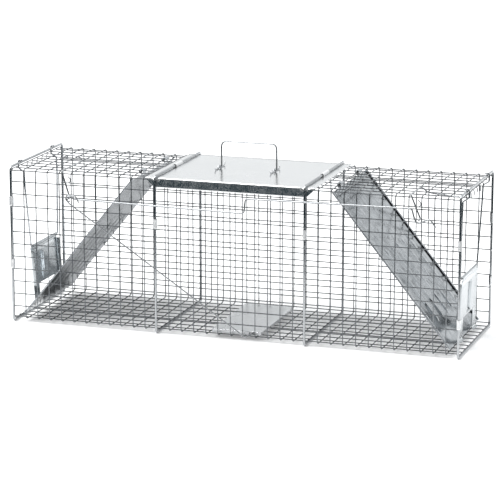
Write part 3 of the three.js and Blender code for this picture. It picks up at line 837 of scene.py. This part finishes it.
def plate_profile(radius):
    """The (y, z) middle line of the plate: flat top, folded front edge, flange."""
    half = PLATE_SHEET / 2
    top = PLATE_TOP - half
    front = HALF_DEPTH + 1.1 + 0.3 + PLATE_SHEET
    fold = radius - half
    centre = (radius - front, PLATE_TOP - radius)
    profile = [(y, top) for y in edged(span(HALF_DEPTH - 3, centre[0], 18))[:-2]]
    for k in range(9):
        angle = math.pi / 2 + math.pi / 2 * k / 8
        profile.append((centre[0] + fold * math.cos(angle), centre[1] + fold * math.sin(angle)))
    low = PLATE_TOP - FLANGE_HEIGHT
    profile += [(half - front, z) for z in (centre[1] - 3, low + 3, low + 0.3, low)]
    return profile


def plate_stations():
    """Positions along the plate, close together at each hoop."""
    near = [side * (HOOP_X[2] + d) for side in (-1, 1) for d in range(-12, 13, 2)]
    broad = span(-PLATE_HALF_LENGTH, PLATE_HALF_LENGTH, 44)
    return edged(sorted(near + [x for x in broad if abs(abs(x) - HOOP_X[2]) > 14]))


def guard_plate():
    grid = []
    for station in plate_stations():
        t = station / PLATE_HALF_LENGTH
        line = []
        for k, (y, z) in enumerate(plate_profile(fold_radius(station))):
            if k > PLATE_LAST_TOP:
                depth = PLATE_TOP - 1 - z
                limit = min(PLATE_HALF_LENGTH, PLATE_HALF_LENGTH + 1 - depth * FLANGE_TAPER)
                line.append(Vector((t * limit, y, z)))
                continue
            fade = smooth((1 - abs(t)) * 8)
            fade *= smooth((HALF_DEPTH - 3 - y) / 30)
            fade *= smooth((y + HALF_DEPTH - 8) / 20)
            x = t * PLATE_HALF_LENGTH
            line.append(Vector((x, y, z + fade * ripple(x, y, 62, 0.16))))
        grid.append(line)
    return sheet(Shape(), grid, PLATE_SHEET)


# ---- handle ----
HANDLE_GAP = 0.3  # above and below a foot of the handle
STAPLE_WIRE = 1.1


def handle():
    """A bail of wire. Both of its feet point to the left, under the staples."""
    left, right = HANDLE_X - HANDLE_HALF_LENGTH, HANDLE_X + HANDLE_HALF_LENGTH
    foot = PLATE_TOP + HANDLE_GAP + HANDLE_WIRE
    corners = points([
        (left - HANDLE_FOOT, 0, foot), (left, 0, foot), (left, 0, HANDLE_TOP),
        (right, 0, HANDLE_TOP), (right, 0, foot), (right - HANDLE_FOOT, 0, foot),
    ])
    return wire(Shape(), rounded(corners, 11.5, 0.12), HANDLE_WIRE, 14)


def handle_staple(x):
    """A wire arched over a foot of the handle, with both ends hooked up."""
    low = PLATE_TOP + HANDLE_GAP + STAPLE_WIRE
    arch = PLATE_TOP + HANDLE_GAP + 2 * HANDLE_WIRE + HANDLE_GAP + 0.4 + STAPLE_WIRE
    corners = points([
        (x, -30, low + 4.5), (x, -27, low), (x, -7, low), (x, -4.2, arch), (x, 4.2, arch),
        (x, 7, low), (x, 27, low), (x, 30.5, low + 2.5), (x, 28.5, low + 5.5),
    ])
    return wire(Shape(), rounded(corners, 2), STAPLE_WIRE, 10)


def add_top():
    piece("cover_plate", guard_plate(), "cage", "plate", "guard_plate")
    piece("carry_handle", handle(), "handle", "rod", "handle")
    for name, side in (("left", -1), ("right", 1)):
        staple = handle_staple(HANDLE_X + side * HANDLE_HALF_LENGTH - 3.8)
        piece(f"staple_{name}", staple, "cage", "rod", f"handle_staple_{name}")


# ---- doors ----
# Drawn lying flat: x runs from the hinge to the free edge, z is the outer side.
RIB_PLACES = (-74.0, -37.0, 0.0, 37.0, 74.0)
RIB_START, RIB_END, RIB_HEIGHT, RIB_HALF_WIDTH = 150.0, 325.0, 2.0, 5.0


def rib_height(s, y):
    """How far the pressed ribs stand out at a place on the door."""
    nearest = min(RIB_PLACES, key=lambda place: abs(place - y))
    u = abs(y - nearest) / RIB_HALF_WIDTH
    if u >= 1:
        return 0.0
    ends = smooth((s - RIB_START) / 9) * smooth((RIB_END - s) / 9)
    return RIB_HEIGHT * ends * (0.5 + 0.5 * math.cos(math.pi * u))


def door_lines():
    """Positions across the flat of the door, close together at each rib."""
    flat = DOOR_HALF_WIDTH - 1.6
    found = [-flat, -flat + 4, -flat + 12, -100, -90]
    for place in RIB_PLACES:
        found += [place + d for d in (-5, -3.8, -2.6, -1.3, 0, 1.3, 2.6, 3.8, 5)]
        found += [place + 12, place + 18.5, place + 25] if place < 74 else []
    return found + [90, 100, flat - 12, flat - 4, flat]


def door_sheet(shape):
    """The flat of the door, ribbed, with both long edges folded back and a raised lip at the free edge."""
    middle = -CURL - DOOR_SHEET / 2
    bend = 1.2
    turn = DOOR_HALF_WIDTH - DOOR_SHEET / 2 - bend
    tip = DOOR_HALF_WIDTH - 8
    arc = [math.radians(90 + 180 * k / 6) for k in range(7)]
    left = [(-tip, middle + 2 * bend), (-tip - 0.3, middle + 2 * bend)]
    left += [(-turn + bend * math.cos(a), middle + bend + bend * math.sin(a)) for a in arc]
    stations = [4.5, 4.8, 12, 25, 45, 70, 95, 120, 138, 146, 150, 152, 154.5, 157, 159, 163]
    stations += [*range(175, 311, 15), 313, 316, 318, 320.5, 323, 325, 333, 345, 358, 368, 374]
    stations += [DOOR_LENGTH - EDGE_STEP, DOOR_LENGTH]
    grid = []
    for s in stations:
        line = [Vector((s, y, z)) for y, z in left]
        for y in door_lines()[1:-1]:
            free = smooth((turn - abs(y)) / 20)
            wave = free * ripple(s, y, 55, 0.5)
            lip = 1.1 * smooth((s - 369) / 6)
            line.append(Vector((s, y, middle + wave + lip + rib_height(s, y))))
        line += [Vector((s, -y, z)) for y, z in reversed(left)]
        grid.append(line)
    return sheet(shape, grid, DOOR_SHEET)


def door_curl(shape, y):
    """A strip of the sheet rolled round one cross wire of the ceiling."""
    radius = CURL + DOOR_SHEET / 2
    inset = 2.7
    line = [(4.5, -radius), (4.2, -radius), (2, -radius)]
    for k in range(19):
        angle = math.radians(-90 - 245 * k / 18)
        line.append((radius * math.cos(angle), radius * math.sin(angle)))
    grid = [[Vector((x, v, z)) for x, z in line] for v in edged(span(y + inset, y + PITCH - inset, 3))]
    return sheet(shape, grid, DOOR_SHEET)


def end_turn(name):
    """Turns a part drawn for the right end of the cage to its own end."""
    return Matrix.Rotation(0 if name == "right" else math.pi, 4, "Z")


def door(name):
    """The door of one end: the sheet and the two rolls that hang it."""
    shape = door_sheet(Shape())
    for y in (-3 * PITCH, 2 * PITCH):
        door_curl(shape, y)
    place = Matrix.Translation((DOOR_PIVOT_X, 0, CEILING_Z)) @ Matrix.Rotation(DOOR_SLOPE, 4, "Y")
    return shape.moved(end_turn(name) @ place)


# ---- lock bars ----
def lock_place(name):
    """The pivot of a lock bar on its end hoop, turned by the lean of the bar."""
    place = Matrix.Translation((HALF_LENGTH, 0, HOOP_TOP)) @ Matrix.Rotation(LOCK_LEAN, 4, "Y")
    return end_turn(name) @ place


def lock_bar(name):
    """A wire hooked over the top of the end hoop. Its cross leg carries the lock plate."""
    top, y, x = LOCK_TOP_HALF_WIDTH, LOCK_HALF_WIDTH, -LOCK_INSET
    corners = [
        *ring(0, -top, 0, LOCK_EYE, 145, 0, 12),
        *points([
            (LOCK_EYE, -top, -12), (x, -top, -20), (x, -top, -50), (x, -y, 8 - LOCK_BAR_DROP),
            (x, -y, -LOCK_BAR_DROP), (x, y, -LOCK_BAR_DROP), (x, y, 8 - LOCK_BAR_DROP),
            (x, top, -50), (x, top, -20), (LOCK_EYE, top, -12),
        ]),
        *ring(0, top, 0, LOCK_EYE, 0, 145, 12),
    ]
    return wire(Shape(), rounded(corners, 5, 0.16), LOCK_WIRE, 12).moved(lock_place(name))


# The plate is drawn about the cross leg of its bar.
LOCK_ROLL = LOCK_WIRE + 0.6 + LOCK_SHEET / 2  # radius of the roll
LOCK_FACE = LOCK_ROLL  # x of the middle of the plate's sheet
LOCK_PLATE_HALF = 67.0
LOCK_FOOT = 28.0  # width of a leg
LOCK_CUT_HEIGHT = 38.0  # height of the gap between the legs
LOCK_FLANGE = 7.0
LOCK_HIGH = -3.0
LOCK_LOW = -LOCK_PLATE_HEIGHT


def flange_line(side):
    """The (x, y) middle line of one side flange, from its edge to the flat of the plate."""
    edge = LOCK_PLATE_HALF - LOCK_SHEET / 2
    bend = 1.3
    tip = LOCK_FACE + LOCK_SHEET / 2 - LOCK_FLANGE
    line = [(tip, side * edge), (tip + 0.3, side * edge), (tip + 3, side * edge)]
    for k in range(6):
        angle = math.pi / 2 * k / 5
        x = LOCK_FACE - bend + bend * math.sin(angle)
        line.append((x, side * (edge - bend + bend * math.cos(angle))))
    return line


def channel(y, z):
    """How far the middle of the plate is pressed into the cage."""
    across = smooth((17 - abs(y)) / 2.5)
    high = smooth((LOCK_HIGH - 13 - z) / 4)
    low = smooth((z - LOCK_LOW - LOCK_CUT_HEIGHT - 2) / 4)
    return 3.3 * across * high * low


def lock_main(shape):
    """The plate between its feet and its roll, with the channel pressed in and a flange down each side."""
    flat = [-60, -48, -39, -30, -22, -18, -17, -16.2, -15.5, -14.5, -13, -7, 0]
    flat = flat + [-v for v in reversed(flat[:-1])]
    grid = []
    heights = [LOCK_LOW + LOCK_CUT_HEIGHT + h for h in (0, 0.3, 2, 3, 4, 5, 6, 12, 20, 28, 36, 44, 50)]
    heights += [LOCK_HIGH - h for h in (19, 17, 16, 15, 14, 13, 11, 6.3)]
    for z in heights:
        line = [Vector((x, y, z)) for x, y in flange_line(-1)]
        line += [Vector((LOCK_FACE - channel(y, z) + ripple(y, z, 40, 0.25), y, z)) for y in flat]
        line += [Vector((x, y, z)) for x, y in reversed(flange_line(1))]
        grid.append(line)
    sheet(shape, grid, LOCK_SHEET)
    strip = []
    for z in (LOCK_HIGH - 6.3, LOCK_HIGH - 3, LOCK_HIGH - 0.3, LOCK_HIGH):
        strip.append([Vector((LOCK_FACE, y, z)) for y in edged(span(-LOCK_PLATE_HALF, LOCK_PLATE_HALF, 12))])
    return sheet(shape, strip, LOCK_SHEET)


def lock_feet(shape):
    """Two legs below the plate, each rolled outwards at its foot."""
    radius = 5 - LOCK_SHEET / 2
    angles = [math.pi + math.pi * 0.6 * k / 10 for k in range(11)]
    curl = [(LOCK_FACE + radius + radius * math.cos(a), LOCK_LOW + radius * math.sin(a)) for a in angles]
    heights = [LOCK_LOW + h for h in (LOCK_CUT_HEIGHT + 0.3, 26, 12, 0.3, 0)]
    for side in (-1, 1):
        places = [side * v for v in edged(span(LOCK_PLATE_HALF - LOCK_FOOT, LOCK_PLATE_HALF, 5))]
        sheet(shape, [[Vector((LOCK_FACE, y, z)) for y in places] for z in heights], LOCK_SHEET)
        sheet(shape, [[Vector((x, y, z)) for x, z in curl] for y in places], LOCK_SHEET)
    return shape


def lock_roll(shape):
    """The top of the plate rolled round the cross leg of the lock bar."""
    line = [(LOCK_FACE, LOCK_HIGH), (LOCK_FACE, LOCK_HIGH + 1.5)]
    for k in range(19):
        angle = math.radians(255 * k / 18)
        line.append((LOCK_ROLL * math.cos(angle), LOCK_ROLL * math.sin(angle)))
    reach = LOCK_HALF_WIDTH - 8
    grid = [[Vector((x, y, z)) for x, z in line] for y in edged(span(-reach, reach, 10))]
    return sheet(shape, grid, LOCK_SHEET)


def lock_plate(name):
    """The plate of one end, hung from the cross leg of its bar."""
    shape = lock_roll(lock_feet(lock_main(Shape())))
    hang = Matrix.Translation((-LOCK_INSET, 0, -LOCK_BAR_DROP)) @ Matrix.Rotation(PLATE_TILT[name], 4, "Y")
    return shape.moved(lock_place(name) @ hang)


def add_ends():
    for name in ("left", "right"):
        piece(f"door_leaf_{name}", door(name), f"door_{name}", "door", f"door_{name}")
        piece(f"lock_wire_{name}", lock_bar(name), f"lock_{name}", "rod", f"lock_bar_{name}")
        piece(f"lock_sheet_{name}", lock_plate(name), f"lock_{name}", "lock", f"lock_plate_{name}")


# ---- treadle pan ----
def pan_top(shape):
    """The flat of the pan with its two side skirts bent down."""
    half = PAN_SHEET / 2
    top, low = PAN_TOP - half, PAN_TOP - PAN_SKIRT
    bend = 1.4
    left, right = PAN_LEFT + half, PAN_RIGHT - half
    side = [(left, low), (left, low + 0.3), (left, top - bend - 1)]
    arc = [math.pi / 2 * k / 4 for k in range(5)]
    side += [(left + bend - bend * math.cos(a), top - bend + bend * math.sin(a)) for a in arc]
    mirrored = [(left + right - x, z) for x, z in reversed(side)]
    middle = span(left + bend, right - bend, 12)[1:-1]
    grid = []
    for y in edged(span(PAN_FRONT + 1.6, PAN_REAR - 12, 20)):
        line = [Vector((x, y, z)) for x, z in side]
        line += [Vector((x, y, top + ripple(x, y, 45, 0.3) * smooth((y - PAN_FRONT) / 20))) for x in middle]
        line += [Vector((x, y, z)) for x, z in mirrored]
        grid.append(line)
    sheet(shape, grid, PAN_SHEET)
    rear = []
    for y in (PAN_REAR - 12.3, PAN_REAR - 6, PAN_REAR - 0.3, PAN_REAR):
        rear.append([Vector((x, y, top)) for x in edged(span(PAN_LEFT, PAN_RIGHT, 10))])
    return sheet(shape, rear, PAN_SHEET)


SLOT_LEFT, SLOT_RIGHT, SLOT_SILL = 36, 50, 12  # sides and lower edge of the link rod's slot


def pan_front(shape):
    """The front skirt, cut away between the two sides of the link rod's slot."""
    half = PAN_SHEET / 2
    top, low = PAN_TOP - half, PAN_TOP - PAN_SKIRT
    y = PAN_FRONT + half
    bend = 1.2
    arc = [math.pi / 2 * k / 4 for k in range(5)]
    roll = [(y + bend - bend * math.cos(a), top - bend + bend * math.sin(a)) for a in arc]
    full = [(y, low), (y, low + 0.3), (y, low + 3), *roll]
    bridge = [(y, low), (y, low + 0.3), (y, SLOT_SILL - 0.3), (y, SLOT_SILL)]
    crown = roll[2:]
    left = edged(span(PAN_LEFT + 0.6, SLOT_LEFT, 6))
    right = edged(span(SLOT_RIGHT, PAN_RIGHT - 0.6, 6))
    across = span(SLOT_LEFT - 0.5, SLOT_RIGHT + 0.5, 2)
    for outline, xs in ((full, left), (full, right), (bridge, across), (crown, across)):
        sheet(shape, [[Vector((x, v, z)) for v, z in outline] for x in xs], PAN_SHEET)
    return shape


def pan_tab(shape, x0, x1):
    """A tab that slopes down from the pan and rolls round a long wire of the floor."""
    y, z, radius = PAN_HINGE_Y, PAN_HINGE_Z, 2 + PAN_SHEET / 2
    line = [(PAN_REAR - 0.3, PAN_TOP - 0.4), (PAN_REAR + 0.6, PAN_TOP - 0.4), (PAN_REAR + 1.6, PAN_TOP - 0.9)]
    for k in range(16):
        angle = math.radians(125 - 265 * k / 15)
        line.append((y + radius * math.cos(angle), z + radius * math.sin(angle)))
    return sheet(shape, [[Vector((x, v, w)) for v, w in line] for x in edged(span(x0, x1, 3))], PAN_SHEET)


def treadle_pan():
    """The pan, hung from one long wire of the floor by two tabs."""
    shape = pan_front(pan_top(Shape()))
    inset = 2.8
    for cell in (-1, 1):
        pan_tab(shape, cell * PITCH + inset, (cell + 1) * PITCH - inset)
    return shape


# ---- trigger linkage ----
def left_lever():
    """A bell crank: pin, outside arm, shaft across the ceiling, and an arm over the ceiling."""
    px, pz = LEFT_PIN
    x, y = LEFT_SHAFT_X, -25.3
    corners = points([
        (px, PIN_END_Y, pz), (px, LEVER_Y, pz), (x, LEVER_Y, SHAFT_Z), (x, y, SHAFT_Z),
        (x - 2, y, SHAFT_Z + 6), (x - 9, y, SHAFT_Z + 9.5), (x - 24, y, SHAFT_Z + 12),
        (x - 31, y, SHAFT_Z + 10), (x - 33, y, SHAFT_Z + 4),
    ])
    return wire(Shape(), rounded(corners, 3), LINKAGE_WIRE, 12)


def right_lever():
    """The same crank at the right end. Its inner arm sags below the ceiling towards the end of the cage."""
    px, pz = RIGHT_PIN
    x, y = RIGHT_SHAFT_X, -57.0
    corners = points([
        (px, PIN_END_Y, pz), (px, LEVER_Y, pz), (x, LEVER_Y, SHAFT_Z), (x, y, SHAFT_Z),
        (x + 6, y, SHAFT_Z - 3), (x + 13, y, SHAFT_Z - 8.7), (x + 25, y, SHAFT_Z - 10.7),
        (x + 45, y, SHAFT_Z - 12), (x + 62, y, SHAFT_Z - 14.5), (x + 78, y, SHAFT_Z - 14.2),
    ])
    return wire(Shape(), rounded(corners, 3), LINKAGE_WIRE, 12)


def trigger_rod():
    """The long rod along the front that ties the two levers together."""
    y = TRIGGER_Y
    px, pz = LEFT_PIN
    corners = ring(px, y, pz, 6, 290, 50, 16) + points([
        (px + 10, y, pz - 0.6), (px + 18, y, 260.5), (32, y, 256), (35, y, 285), (364.5, y, 288.5),
        (368.5, y, 273), (373.5, y, 261.8), (380.5, y, 261.4), (387, y, 265), (396, y, 269.5),
        (401.5, y, 268.5), (411, y, 255),
    ])
    return wire(Shape(), rounded(corners, 7, 0.15), LINKAGE_WIRE, 12)


def link_rod():
    """The upright rod from the left lever's pin down to the front of the pan."""
    y = LINK_Y
    px, pz = LEFT_PIN
    corners = points([(px + 22.5, y, pz - 6.5), (px + 16.5, y, pz + 5.5), (px + 9.5, y, pz + 6.6)])
    corners += ring(px, y, pz, 4.6, 75, 225, 12)
    corners += points([
        (px + 2.5, y, pz - 9.5), (25.4, y, 17.9), (36.8, y, 10.7), (42, LEVER_Y, 14.3),
        (43, PAN_FRONT + 7, 14.3),
    ])
    return wire(Shape(), rounded(corners, 3, 0.15), LINK_WIRE, 10)


def stop_hook(x):
    """A small hook on the front top edge that limits the swing of a lever."""
    y, z = -129.5, 293.0
    corners = points([(x, y, z + 11), (x + 4.5, y, z + 7), (x + 5.5, y, z + 1), (x + 1, y, z - 2)])
    return wire(Shape(), rounded(corners, 2), 1.0, 10)


def add_trigger():
    piece("trigger_pan", treadle_pan(), "treadle", "pan", "treadle_pan")
    piece("crank_left", left_lever(), "lever_left", "rod", "lever_left")
    piece("crank_right", right_lever(), "lever_right", "rod", "lever_right")
    piece("trigger_wire", trigger_rod(), "trigger", "rod", "trigger_rod")
    piece("link_wire", link_rod(), "link", "rod", "link_rod")
    piece("hook_left", stop_hook(-336), "cage", "rod", "stop_hook_left")
    piece("hook_right", stop_hook(374.6), "cage", "rod", "stop_hook_right")


add_camera()
add_world()
add_stage()
add_mesh()
add_hoops()
add_clips()
add_top()
add_ends()
add_trigger()

bpy.context.scene.view_settings.view_transform = "Standard"
bpy.context.view_layer.update()
